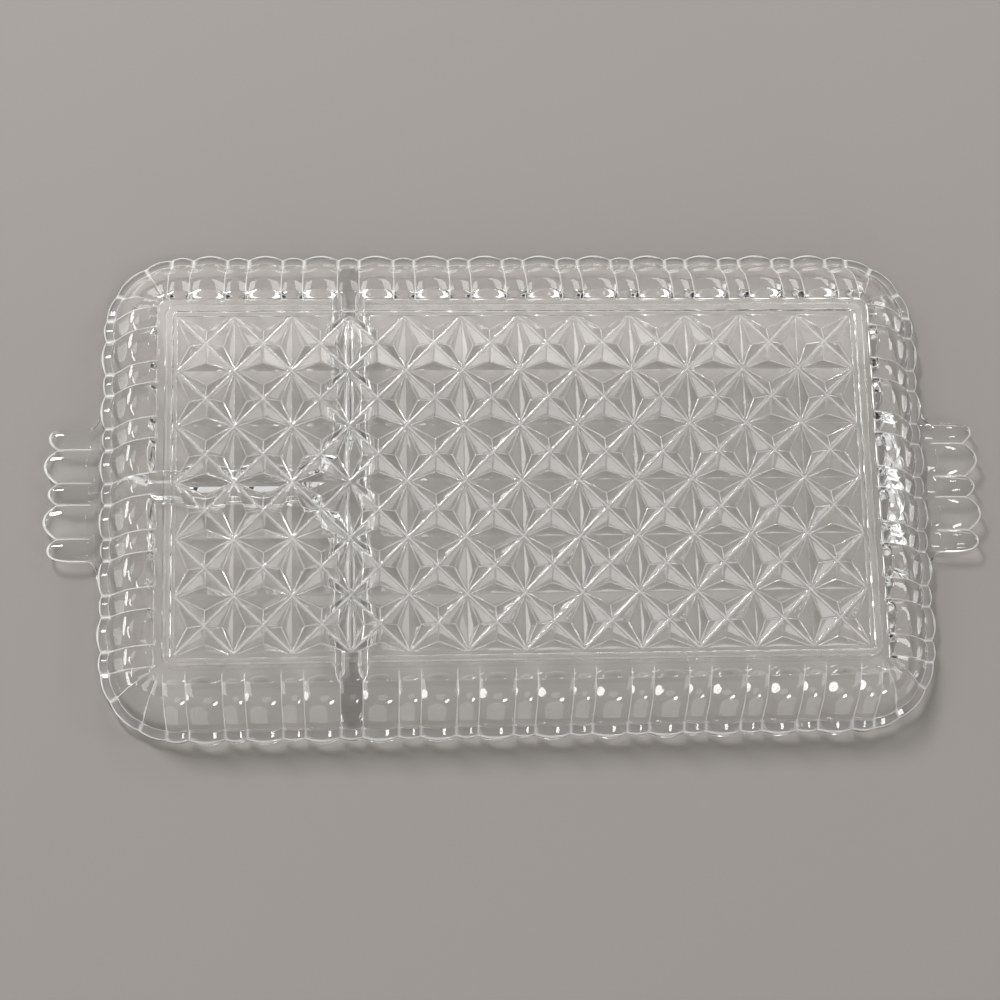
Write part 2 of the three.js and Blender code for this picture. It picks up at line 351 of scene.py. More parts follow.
@dataclass(frozen=True)
class DishSizes:
    """Main sizes that the parts of the dish share, in metres, read from the frame."""

    columns: int
    rows: int
    narrow_width: float
    pitch: float
    corner_x: float
    corner_y: float
    base_z: float
    floor_z: float
    height: float

    @classmethod
    def from_frame(cls, columns: int = 12, rows: int = 6, narrow_width: float = 7.6 * MM,
                   foot_radius: float = 2.2 * MM) -> "DishSizes":
        """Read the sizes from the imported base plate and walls.

        Args:
            columns: Star cells along the dish.
            rows: Star cells across the dish.
            narrow_width: Width of a narrow flute.
            foot_radius: Corner radius of the base plate.

        Returns:
            The shared sizes.
        """
        low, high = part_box("base_plate")
        corner_x, corner_y = high.x - foot_radius, high.y - foot_radius
        pitch = (2 * corner_x - narrow_width) / columns
        return cls(columns, rows, narrow_width, pitch, corner_x, corner_y, low.z, high.z,
                   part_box("front_wall")[1].z)

    @property
    def half_length(self) -> float:
        """Half the length of the star pattern."""
        return self.columns * self.pitch / 2

    @property
    def half_width(self) -> float:
        """Half the width of the star pattern."""
        return self.rows * self.pitch / 2


@dataclass
class StarPattern:
    """Stars pressed into the underside, one on every corner of a square grid.

    The sides and diagonals of a cell are ridges, and each triangle between them is a three-sided
    pit. The crests of the diagonals are broad and stand a little proud of those along the sides.
    Painted highlights, pale lines, lie on the rounded valleys and the middle of the diagonals' crests, where
    they fade by crest_fade a step. They stand in for the bright lines that light draws on those tight radii,
    and are drawn wider than on the real glass, so that they show in a render.
    """

    sizes: DishSizes
    pit_depth: float = 3.8 * MM
    crest_half_width: float = 0.72 * MM
    crest_steps: int = 3
    side_crest_half_width: float = 0.16 * MM
    side_crest_rise: float = 0.08 * MM
    valley_round: float = 0.42 * MM
    valley_steps: int = 3
    valley_fill: float = 0.03 * MM
    valley_highlight: float = 0.88
    crest_fade: float = 0.28
    crest_highlight_steps: float = 1.1
    crest_ends: Point2 = (0.14, 0.86)
    recess: float = 0.3 * MM
    sink: float = 6.0 * MM

    @property
    def ridge_z(self) -> float:
        """Height of the plane in which the sharp ridges would lie."""
        return self.sizes.base_z + self.recess

    @property
    def pit_out(self) -> float:
        """Distance of a pit's deepest point from the middle of its cell."""
        return self.sizes.pitch / 2 * (2 - math.sqrt(2))

    @property
    def steepness(self) -> float:
        """Depth of a facet for each metre from its ridge."""
        return self.pit_depth / (self.sizes.pitch / 2 - self.pit_out)

    def crest_depth(self, distance: float) -> float:
        """Depth of a diagonal's rounded crest at a distance from its middle."""
        width = self.crest_half_width
        return self.steepness * (distance ** 2 / (2 * width) + width / 2)

    def _sector(self) -> list[list[Point3]]:
        """Make the faces of a quarter of a cell, from its middle out to one side.

        Returns:
            Faces as lists of distance out, distance along the side, and depth.
        """
        half, width, keen = self.sizes.pitch / 2, self.crest_half_width, self.side_crest_half_width
        lines = [width * k / self.crest_steps for k in range(self.crest_steps + 1)]
        inner = np.array([(math.sqrt(2) * q, 0.0, self.crest_depth(q)) for q in lines])
        pit = (self.pit_out, 0.0, self.pit_depth)
        faces, brinks, sides = [], [], []
        for sign in (-1, 1):
            outer = np.array([(half - keen * q / width, sign * (half - (keen / width + math.sqrt(2)) * q),
                               self.crest_depth(q)) for q in lines])
            rows = [inner + share * (outer - inner) for share in (0.0, *self.crest_ends, 1.0)]
            for near, far in zip(rows, rows[1:]):
                faces += [[near[k], near[k + 1], far[k + 1], far[k]] for k in range(self.crest_steps)]
            brink = outer[-1]
            side = (half, brink[1], brink[2] - self.side_crest_rise)
            faces += [[pit, *(row[-1] for row in reversed(rows))], [*outer, side]]
            brinks.append(brink)
            sides.append(side)
        return [*faces, [*brinks, pit], [brinks[0], sides[0], sides[1], brinks[1]]]

    def _valley_highlight(self, u: float, v: float, depth: float) -> float:
        """Tell how strong the painted highlight is at a point of a cell for lying in a rounded valley between
        two facets.

        Args:
            u: Distance from the cell's middle towards the nearest side.
            v: Distance along that side.
            depth: Depth below the plane of the ridges.

        Returns:
            The painted highlight's strength where the glass is fuller than sharp facets would be, and 0
            elsewhere.
        """
        reach = self.sizes.pitch / 2 - self.side_crest_half_width
        brink = self.crest_depth(self.crest_half_width)
        from_side = brink + (self.pit_depth - brink) * (reach - u) / (reach - self.pit_out)
        from_diagonal = self.steepness * (u - v) / math.sqrt(2)
        return self.valley_highlight * (min(from_side, from_diagonal) - depth > self.valley_fill)

    def _highlight(self, place: Vector) -> float:
        """Tell how strong the painted highlight is at a point of a cell.

        Args:
            place: The point, in the cell's own frame.

        Returns:
            Strength of the painted highlight, from 0 to 1.
        """
        v, u = sorted(map(abs, place.xy))
        steps_off = (u - v) / math.sqrt(2) / (self.crest_half_width / self.crest_steps)
        if steps_off < self.crest_highlight_steps:
            return 1 - self.crest_fade * steps_off
        return self._valley_highlight(u, v, place.z - self.ridge_z)

    def cell(self) -> bpy.types.Object:
        """Make the relief of one cell, centred on the origin.

        Returns:
            An open sheet whose hollow side is up.
        """
        points, faces = [], []
        for ux, uy in ((1, 0), (0, 1), (-1, 0), (0, -1)):
            for face in self._sector():
                faces.append(range(len(points), len(points) + len(face)))
                points += [(u * ux - v * uy, u * uy + v * ux, self.ridge_z + d) for u, v, d in face]
        piece = mesh_object("star_cell", points, faces)
        face_outwards(piece)
        deep = self.ridge_z + self.pit_depth - WELD
        with edited(piece.data) as shape:
            valleys = [edge for edge in shape.edges if max(v.co.z for v in edge.verts) > deep]
            bmesh.ops.bevel(shape, geom=valleys, offset=self.valley_round, segments=self.valley_steps,
                            profile=0.5, affect="EDGES", clamp_overlap=True)
            split_large_faces(shape)
        # Painted highlights: pale lines on the valleys and along the middle of the diagonals' crests.
        mark(piece.data, PAINTED_HIGHLIGHT, [self._highlight(vertex.co) for vertex in piece.data.vertices])
        return piece

    def hollow(self, repeater: Repeater, finish: bpy.types.Material) -> bpy.types.Object:
        """Make the closed body that the stars are cut with.

        Args:
            repeater: Tree that repeats the cell over the base.
            finish: Material of the cut faces.

        Returns:
            A body whose top is the relief, and which reaches below the dish.
        """
        s = self.sizes
        places = [
            Place((i + 0.5) * s.pitch - s.half_length, (j + 0.5) * s.pitch - s.half_width)
            for i in range(s.columns) for j in range(s.rows)]
        sheet = repeater.repeat("star_hollow", self.cell(), places, finish)
        with edited(sheet.data) as shape:
            rim = [edge for edge in shape.edges if edge.is_boundary]
            lowered = bmesh.ops.extrude_edge_only(shape, edges=rim)["geom"]
            for part in lowered:
                if isinstance(part, bmesh.types.BMVert):
                    part.co.z = s.base_z - self.sink
            close_up(shape)
        return sheet


class FluteKind(Enum):
    """Kinds of flute: two that take turns along the wall, and two that fan out at a corner."""

    NARROW = "narrow"
    WIDE = "wide"
    CORNER_SIDE = "corner side"
    CORNER_MIDDLE = "corner middle"


@dataclass(frozen=True)
class Flute:
    """Sizes of one kind of flute: its width, its crown's rise over the creases and its steps."""

    width: float
    rise: float
    steps: int


@dataclass(frozen=True)
class Station:
    """One upright section of the wall: its foot, its outward direction and its flute's bulge.

    At a corner the flutes fan out from the foot, and the rim is tucked in from the square.
    """

    foot: Point2
    outward: Point2
    bulge: float
    fanned: bool = False
    tuck: float = 0.0


@dataclass
class FlutedWall:
    """Sloping wall with convex flutes, from the flat base over the scalloped rim to the floor.

    Painted highlights, pale lines, mark the creases between flutes and the two edges of the lip, inner and
    outer, and a fainter painted light lies on the lip between those edges. Those edges are numbered as
    corners of the section, from the base on.
    """

    sizes: DishSizes
    narrow_rise: float = 1.0 * MM
    wide_rise: float = 1.7 * MM
    corner_side: Flute = Flute(10.3 * MM, 0.6 * MM, 8)
    corner_middle: Flute = Flute(15.3 * MM, 0.8 * MM, 12)
    corner_tuck: float = 1.6 * MM
    corner_tuck_power: float = 0.75
    fan_radius: float = 2.5 * MM
    narrow_steps: int = 8
    wide_steps: int = 12
    start_radius: float = 0.5 * MM
    flat_radius: float = 0.9 * MM
    shoulder_radius: float = 4.3 * MM
    shoulder_round: float = 5.0 * MM
    belly: Point2 = (12.6 * MM, 6.4 * MM)
    belly_round: float = 18.0 * MM
    lip_width: float = 3.5 * MM
    lip_rise: float = 1.2 * MM
    lip_thickness: float = 3.2 * MM
    lip_round: float = 2.0 * MM
    edge_round: float = 1.4 * MM
    rim_inner_radius: float = 18.1 * MM
    rim_inner_round: float = 4.5 * MM
    toe_radius: float = 3.5 * MM
    toe_round: float = 5.0 * MM
    flute_fade: Point2 = (2.4 * MM, 7.0 * MM)
    lip_painted_light: float = 0.72
    lip_highlights: Point2 = (0.92, 1.0)
    arc_steps: int = 9

    LIP_CORNERS = (4, 5)

    def __post_init__(self) -> None:
        """Work out the rim and the rounded profile."""
        narrow = self.sizes.narrow_width
        self.flutes = {
            FluteKind.NARROW: Flute(narrow, self.narrow_rise, self.narrow_steps),
            FluteKind.WIDE: Flute(self.sizes.pitch - narrow, self.wide_rise, self.wide_steps),
            FluteKind.CORNER_SIDE: self.corner_side,
            FluteKind.CORNER_MIDDLE: self.corner_middle}
        self.rim_radius = -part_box("front_wall")[0].y - self.sizes.corner_y - self.wide_rise
        self.profile = self._profile()

    def inner_radius(self, z: float) -> float:
        """Distance of the inner face from the corner axis at a height."""
        share = (z - self.sizes.floor_z) / (self.sizes.height - self.sizes.floor_z)
        return self.toe_radius + share * (self.rim_inner_radius - self.toe_radius)

    def rim_bulge(self, along: float) -> float:
        """Work out how far an end wall's rim bulges.

        Args:
            along: Distance from the middle of the wall, where a narrow flute has its crown.

        Returns:
            Distance from the creases' line.
        """
        place = (along + self.sizes.pitch / 2) % self.sizes.pitch - self.sizes.pitch / 2
        kind = FluteKind.NARROW if abs(place) <= self.sizes.narrow_width / 2 else FluteKind.WIDE
        if kind is FluteKind.WIDE:
            place = abs(place) - self.sizes.pitch / 2
        return self.flutes[kind].rise * (1 - (2 * place / self.flutes[kind].width) ** 2)

    def _profile(self) -> np.ndarray:
        """Make the section between two flutes.

        Returns:
            Rows of radius, height, the outward and upward push of a flute's bulge, whether the creases reach
            there, and how strong the painted highlights and painted light of the lip are there.
        """
        s, top = self.sizes, self.sizes.height
        under_lip = top - self.lip_thickness
        corners = [
            (self.start_radius, s.base_z), (self.flat_radius, s.base_z),
            (self.shoulder_radius, s.base_z), self.belly,
            (self.rim_radius - self.lip_width, under_lip - self.lip_rise),
            (self.rim_radius, under_lip), (self.rim_radius, top),
            (self.rim_inner_radius, top), (self.toe_radius, s.floor_z),
            (self.start_radius, s.floor_z)]
        radii = [0, 0, self.shoulder_round, self.belly_round, self.lip_round, self.edge_round,
                 self.edge_round, self.rim_inner_round, self.toe_round, 0]
        outline = rounded(corners, radii, self.arc_steps)
        along = np.gradient(outline, axis=0)
        along /= np.linalg.norm(along, axis=1, keepdims=True)
        low, high = self.flute_fade
        share = np.clip((outline[:, 0] - low) / (high - low), 0, 1)
        weight = share * share * (3 - 2 * share)
        outside = np.arange(len(outline)) <= int(np.argmax(outline[:, 1] >= top - WELD))
        push_out = np.where(outside, weight * np.maximum(along[:, 1], 0), 0)
        push_up = np.where(outside, weight * np.minimum(-along[:, 0], 0), 0)
        # Painted light on the lip band, with brighter painted highlights along its two edges.
        edge = np.zeros(len(outline))
        middles = [sum(self.arc_steps + 1 if radius else 1 for radius in radii[:corner])
                   + self.arc_steps // 2 for corner in self.LIP_CORNERS]
        edge[middles[0]:middles[-1]] = self.lip_painted_light
        for middle, highlight_strength in zip(middles, self.lip_highlights):
            edge[middle - 1:middle + 2] = highlight_strength
        return np.column_stack([outline, push_out, push_up, outside & (weight > 0), edge])

    def _highlights(self, stations: Sequence[Station]) -> np.ndarray:
        """Tell how strong the painted highlights on the creases and the painted light on the lip are, for
        each point of some stations' rings.
        """
        creases = np.array([abs(station.bulge) < TOUCH for station in stations], float)
        return np.maximum(creases[:, None] * self.profile[:, 4], self.profile[:, 5]).ravel()

    def _ring(self, station: Station) -> list[Point3]:
        """Place the section's points at a station.

        Args:
            station: Where the section stands.

        Returns:
            The points in order.
        """
        points = []
        squeeze = 1 - station.tuck / (self.rim_radius - self.fan_radius)
        for radius, z, push_out, push_up in self.profile[:, :4]:
            bulge = station.bulge * (radius / self.rim_radius if station.fanned else 1)
            out = radius + bulge * push_out
            if out > self.fan_radius:
                out = self.fan_radius + (out - self.fan_radius) * squeeze
            points.append((station.foot[0] + out * station.outward[0],
                           station.foot[1] + out * station.outward[1], z + bulge * push_up))
        return points

    def _flutes(self, kinds: Sequence[FluteKind]) -> list[Point2]:
        """Lay flutes side by side.

        Args:
            kinds: The flutes in order.

        Returns:
            Places along the row, as shares of its width, with the bulge at each.
        """
        flutes = [self.flutes[kind] for kind in kinds]
        total = sum(flute.width for flute in flutes)
        start, places = 0.0, [(0.0, 0.0)]
        for flute in flutes:
            for step in range(1, flute.steps + 1):
                t = step / flute.steps
                places.append(((start + t * flute.width) / total, 4 * t * (1 - t) * flute.rise))
            start += flute.width
        return places

    def _half_narrow(self, sign: int) -> list[Point2]:
        """Lay out half of a narrow flute.

        Args:
            sign: 1 to go from its middle to the crease, and -1 to come back.

        Returns:
            Distances from its middle, with the bulge at each.
        """
        half, steps = self.sizes.narrow_width / 2, self.narrow_steps // 2
        falling = [(k / steps * half, self.narrow_rise * (1 - (k / steps) ** 2)) for k in range(steps + 1)]
        return falling if sign > 0 else falling[::-1]

    def _strip(self, name: str, stations: Sequence[Station]) -> bpy.types.Object:
        """Skin a row of stations.

        Args:
            name: Name of the strip.
            stations: Upright sections in order.

        Returns:
            An open strip with its painted highlights marked.
        """
        rings = np.array([self._ring(station) for station in stations])
        strip = mesh_object(name, *skin(rings, loop=False, tube=False))
        mark(strip.data, PAINTED_HIGHLIGHT, self._highlights(stations))
        return strip

    def straight_module(self) -> bpy.types.Object:
        """Make one pitch of straight wall: a wide flute between two half narrow ones.

        Returns:
            An open strip along X, with its outside towards -Y.
        """
        half, wide = self.sizes.pitch / 2, self.flutes[FluteKind.WIDE].width
        rows = [(d - half, bulge) for d, bulge in self._half_narrow(1)]
        rows += [((share - 0.5) * wide, bulge) for share, bulge in self._flutes([FluteKind.WIDE])[1:-1]]
        rows += [(half - d, bulge) for d, bulge in self._half_narrow(-1)]
        return self._strip("wall_module", [Station((x, 0.0), (0.0, -1.0), bulge) for x, bulge in rows])

    def corner_module(self) -> bpy.types.Object:
        """Make one corner: three fanned flutes, with half a narrow flute at each end.

        Returns:
            An open strip round the origin, from -Y to +X.
        """
        half = self.sizes.narrow_width / 2
        kinds = [FluteKind.CORNER_SIDE, FluteKind.CORNER_MIDDLE, FluteKind.CORNER_SIDE]
        stations = [Station((d - half, 0.0), (0.0, -1.0), b) for d, b in self._half_narrow(1)]
        for share, bulge in self._flutes(kinds)[1:-1]:
            angle = (share - 1) * math.pi / 2
            tuck = self.corner_tuck * math.sin(share * math.pi) ** self.corner_tuck_power
            stations.append(Station((0.0, 0.0), (math.cos(angle), math.sin(angle)), bulge, True, tuck))
        stations += [Station((0.0, half - d), (1.0, 0.0), b) for d, b in self._half_narrow(-1)]
        return self._strip("corner_module", stations)

    def bowl(self, repeater: Repeater, finish: bpy.types.Material) -> bpy.types.Object:
        """Make the whole bowl with a plain base.

        Args:
            repeater: Tree that repeats the modules round the dish.
            finish: Material of the glass.

        Returns:
            A closed body.
        """
        s, quarter = self.sizes, math.pi / 2
        straight = []
        for count, reach, side, turn in ((s.columns, s.half_length, s.corner_y, 0.0),
                                         (s.rows, s.half_width, s.corner_x, quarter)):
            for k in range(count):
                x = (k + 0.5) * s.pitch - reach
                for flip in (0.0, math.pi):
                    spin = Matrix.Rotation(turn + flip, 2)
                    place = spin @ Vector((x, -side))
                    straight.append(Place(place.x, place.y, turn + flip))
        corners = [Place(s.corner_x, -s.corner_y, 0.0), Place(s.corner_x, s.corner_y, quarter),
                   Place(-s.corner_x, s.corner_y, 2 * quarter),
                   Place(-s.corner_x, -s.corner_y, 3 * quarter)]
        bowl = repeater.repeat("bowl", self.straight_module(), straight, finish)
        turns = repeater.repeat("bowl_corners", self.corner_module(), corners, finish)
        with edited(bowl.data) as shape:
            shape.from_mesh(turns.data)
            bmesh.ops.remove_doubles(shape, verts=shape.verts, dist=WELD)
            close_up(shape)
        discard(turns)
        return bowl


@dataclass
class FootRing:
    """Raised frame round the stars that the dish stands on, with a slightly sunken top."""

    sizes: DishSizes
    corner_radius: float = 4.4 * MM
    width: float = 3.2 * MM
    inner_slope: float = 0.3 * MM
    outer_slope: float = 0.8 * MM
    dish_depth: float = 0.12 * MM
    edge_round: float = 0.35 * MM
    overlap: float = 0.6 * MM
    corner_steps: int = 10
    arc_steps: int = 5

    def build(self) -> bpy.types.Object:
        """Sweep the ring's section round a rounded rectangle.

        Returns:
            A closed ring that reaches up into the base.
        """
        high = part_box("foot_ring")[1]
        base, root = self.sizes.base_z, self.sizes.base_z + self.overlap
        inner, outer = self.inner_slope - self.width, -self.outer_slope
        section = rounded(
            [(-self.width, root), (-self.width, base), (inner, 0.0),
             ((inner + outer) / 2, self.dish_depth), (outer, 0.0), (0.0, base), (0.0, root)],
            [0, 0, self.edge_round, 0, self.edge_round, 0, 0], self.arc_steps)
        rings = []
        for corner in range(4):
            sign_x, sign_y = (1, 1, -1, -1)[corner], (-1, 1, 1, -1)[corner]
            centre = (sign_x * (high.x - self.corner_radius), sign_y * (high.y - self.corner_radius))
            for step in range(self.corner_steps + 1):
                angle = (corner - 1 + step / self.corner_steps) * math.pi / 2
                rings.append([(centre[0] + (self.corner_radius + r) * math.cos(angle),
                               centre[1] + (self.corner_radius + r) * math.sin(angle), z)
                              for r, z in section])
        return swept_body("foot_bead", np.array(rings), loop=True)


@dataclass
class Dividers:
    """Two drafted ridges on the floor that meet in a T with a flared junction."""

    sizes: DishSizes
    wall: FlutedWall
    top_half_width: float = 2.6 * MM
    crown_round: float = 2.2 * MM
    foot_round: float = 3.0 * MM
    foot_run: float = 5.0 * MM
    foot_dip: float = 0.12
    root_depth: float = 1.2 * MM
    wall_overlap: float = 2.0 * MM
    flare_radius: float = 17.0 * MM
    flare_steps: int = 14
    branch_drop: float = 0.15 * MM
    branch_overlap: float = 0.6 * MM
    arc_steps: int = 8

    def _section(self, drop: float) -> np.ndarray:
        """Make half a divider's section, from its root to its crest.

        Args:
            drop: How far the crest stays below the full height.

        Returns:
            Rows of distance from the middle plane and height.
        """
        low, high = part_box("cross_divider")
        foot_half = (high.x - low.x) / 2
        floor, top = self.sizes.floor_z, high.z - drop
        corners = [
            (0.0, floor - self.root_depth),
            (foot_half + self.foot_run, floor - self.root_depth),
            (foot_half + self.foot_run, floor - self.foot_dip * (self.foot_run - self.foot_round)),
            (foot_half, floor + self.foot_dip * self.foot_round),
            (self.top_half_width, top), (0.0, top)]
        radii = [0, 0, 0, self.foot_round, self.crown_round, 0]
        return rounded(corners, radii, self.arc_steps)

    def _whole(self, half: np.ndarray) -> np.ndarray:
        """Mirror half a section to the full outline, with no point twice."""
        mirrored = half[1:-1][::-1] * np.array([-1.0, 1.0])
        return np.vstack([half, mirrored])

    def cross(self) -> bpy.types.Object:
        """Make the divider across the dish, with its ends inside the walls.

        Returns:
            A closed body.
        """
        low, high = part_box("cross_divider")
        middle = (low.x + high.x) / 2
        section = self._whole(self._section(0.0))
        rings = np.array([
            [(middle + o, side * (self.sizes.corner_y + self.wall.inner_radius(z) + self.wall_overlap), z)
             for o, z in section] for side in (-1, 1)])
        return swept_body("cross_ridge", rings)

    def branch(self) -> bpy.types.Object:
        """Make the divider between the small wells, flared into the one across the dish.

        Returns:
            A closed body.
        """
        low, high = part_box("cross_divider")
        middle, radius = (low.x + high.x) / 2, self.flare_radius
        section = self._whole(self._section(self.branch_drop))
        rings = [[(-self.sizes.corner_x - self.wall.inner_radius(z) - self.wall_overlap, o, z)
                  for o, z in section]]
        runs = [radius * math.sin(k / self.flare_steps * math.pi / 2) for k in range(self.flare_steps + 1)]
        flares = [(run, radius - math.sqrt(radius ** 2 - run ** 2)) for run in runs]
        flares.append((radius + self.branch_overlap, radius))
        for run, flare in flares:
            rings.append([(middle - abs(o) - radius + run, o + math.copysign(flare, o) if o else o, z)
                          for o, z in section])
        return swept_body("branch_ridge", np.array(rings))


@dataclass
class TabHandle:
    """Lobed tab at an end of the dish, with a thin web along the rim on either side."""

    sizes: DishSizes
    wall: FlutedWall
    lobes: int = 5
    narrow_reach: float = 2.0 * MM
    wide_reach: float = 2.9 * MM
    thickness: float = 3.9 * MM
    lobe_rise: float = 1.7 * MM
    dome: float = 0.9 * MM
    dome_round: float = 30.0 * MM
    web_fullness: float = 0.2
    root_overlap: float = 3.6 * MM
    root_thickness: float = 2.2 * MM
    root_round: float = 0.8 * MM
    neck: float = 4.0 * MM
    neck_share: float = 1 / 3
    neck_slope: float = 0.9
    neck_round: float = 1.5 * MM
    web_reach: float = 7.5 * MM
    web_spread: float = 10.0 * MM
    web_thickness: float = 2.4 * MM
    web_sink: float = 1.2 * MM
    web_steps: int = 14
    lobe_steps: int = 14
    side_steps: int = 12
    side_power: float = 3.5
    arc_steps: int = 6
    edge_share: float = 0.42
    # edge_angle and valley_fade place the painted highlights on the tab's edge and between its lobes.
    edge_angle: float = math.radians(30)
    valley_fade: float = 1.5

    def _section(self, along: float, reach: float, thickness: float) -> np.ndarray:
        """Make the upright section of the tab at a place along the end wall.

        Args:
            along: Distance from the middle of the wall.
            reach: How far the tab stands out from the rim there.
            thickness: Thickness of the tab there.

        Returns:
            Rows of distance from the corner axis and height, all round.
        """
        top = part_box("right_handle")[1].z
        rim = self.wall.rim_radius + self.wall.rim_bulge(along)
        inner = self.wall.rim_radius - self.root_overlap
        neck = rim + min(self.neck, reach * self.neck_share)
        tip = rim + reach
        fullness = (thickness - self.web_thickness) / (self.thickness + self.lobe_rise - self.web_thickness)
        dome = self.dome * max(fullness, self.web_fullness)
        shallow, deep = top - thickness + dome / 2, top - thickness - dome / 2
        corners = [
            (inner, top - self.root_thickness),
            (neck - (neck - rim) * self.neck_slope, top - self.root_thickness),
            (neck, shallow), ((neck + tip) / 2, deep), (tip, shallow), (tip, top), (inner, top)]
        edge = thickness * self.edge_share
        radii = [0, self.root_round, self.neck_round, self.dome_round, edge, edge, 0]
        return rounded(corners, radii, self.arc_steps)

    def _stations(self) -> list[Point3]:
        """Lay out half of the tab, from its middle to the end of its web.

        Returns:
            Distance along the wall, reach, and thickness at each station.
        """
        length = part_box("right_handle")[1].x - self.sizes.corner_x - self.wall.rim_radius
        notch = length - self.wall.wide_rise - self.wide_reach
        stations, start = [], -self.sizes.narrow_width / 2
        for k in range((self.lobes + 1) // 2):
            kind = FluteKind.WIDE if k % 2 else FluteKind.NARROW
            last = k == self.lobes // 2
            width = self.wall.flutes[kind].width
            lobe_reach = self.wide_reach if kind is FluteKind.WIDE else self.narrow_reach
            for step in range(self.lobe_steps):
                q = 2 * step / self.lobe_steps - 1
                along, crown = start + (q + 1) * width / 2, 1 - q * q
                if along >= 0 and not (last and q >= 0):
                    stations.append((along, notch + crown * lobe_reach,
                                     self.thickness + crown * self.lobe_rise))
            start += width
            if last:
                stations += self._outer_side(start - width / 2, width / 2, notch + lobe_reach)
        for step in range(1, self.web_steps + 1):
            angle = step / self.web_steps * math.pi / 2
            stations.append((start + self.web_spread * (1 - math.cos(angle)),
                             self.web_reach * (1 - math.sin(angle)) - self.web_sink, self.web_thickness))
        return stations

    def _outer_side(self, middle: float, half: float, reach: float) -> list[Point3]:
        """Round the outer side of the last lobe down to the web.

        Args:
            middle: Place of the lobe's middle.
            half: Half its width.
            reach: Reach of its tip.

        Returns:
            Stations from the lobe's middle to its side.
        """
        full = self.thickness + self.lobe_rise
        stations = []
        for step in range(self.side_steps + 1):
            q = math.sin(step / self.side_steps * math.pi / 2)
            tip = max(0.0, 1 - q ** self.side_power) ** (1 / self.side_power)
            belly = math.sqrt(max(0.0, 1 - q * q))
            stations.append((middle + q * half, self.web_reach + (reach - self.web_reach) * tip,
                             self.web_thickness + (full - self.web_thickness) * belly))
        return stations

    def _highlights(self, stations: Sequence[Point3]) -> np.ndarray:
        """Tell how strong the painted highlights on the tab's edge and in the valleys between its lobes are.

        Args:
            stations: Distance along the wall, reach, and thickness at each station.

        Returns:
            Strength of the painted highlight, from 0 to 1, for each point of the stations' sections.
        """
        arc = self.arc_steps + 1
        neck, edge = 1 + arc, 1 + 3 * arc
        first = edge + math.ceil(self.arc_steps * self.edge_angle / (math.pi / 2))
        lines = np.zeros((len(stations), 2 + 5 * arc))
        lines[:, first:edge + arc + 1] = 1.0
        for row, (along, _, thickness) in zip(lines, stations):
            crown = (thickness - self.thickness) / self.lobe_rise
            if abs(along) < self.sizes.pitch:
                between = row[neck + arc // 2:edge + arc + 1]
                np.maximum(between, 1 - self.valley_fade * crown, out=between)
        return lines.ravel()

    def build(self, name: str, turn: float) -> bpy.types.Object:
        """Make a tab and turn it to its end of the dish.

        Args:
            name: Name of the tab.
            turn: Turn about the upright axis, where a quarter turn is the +X end.

        Returns:
            A closed body with its root inside the rim.
        """
        half = self._stations()
        stations = [(-along, *rest) for along, *rest in reversed(half) if along > 0] + half
        rings = np.array([
            [(along, -self.sizes.corner_x - r, z) for r, z in self._section(along, reach, thickness)]
            for along, reach, thickness in stations])
        tab = mesh_object(name, *skin(rings, loop=False, tube=True, caps=True))
        mark(tab.data, PAINTED_HIGHLIGHT, self._highlights(stations))
        tab.data.transform(Matrix.Rotation(turn, 4, "Z"))
        face_outwards(tab)
        return tab


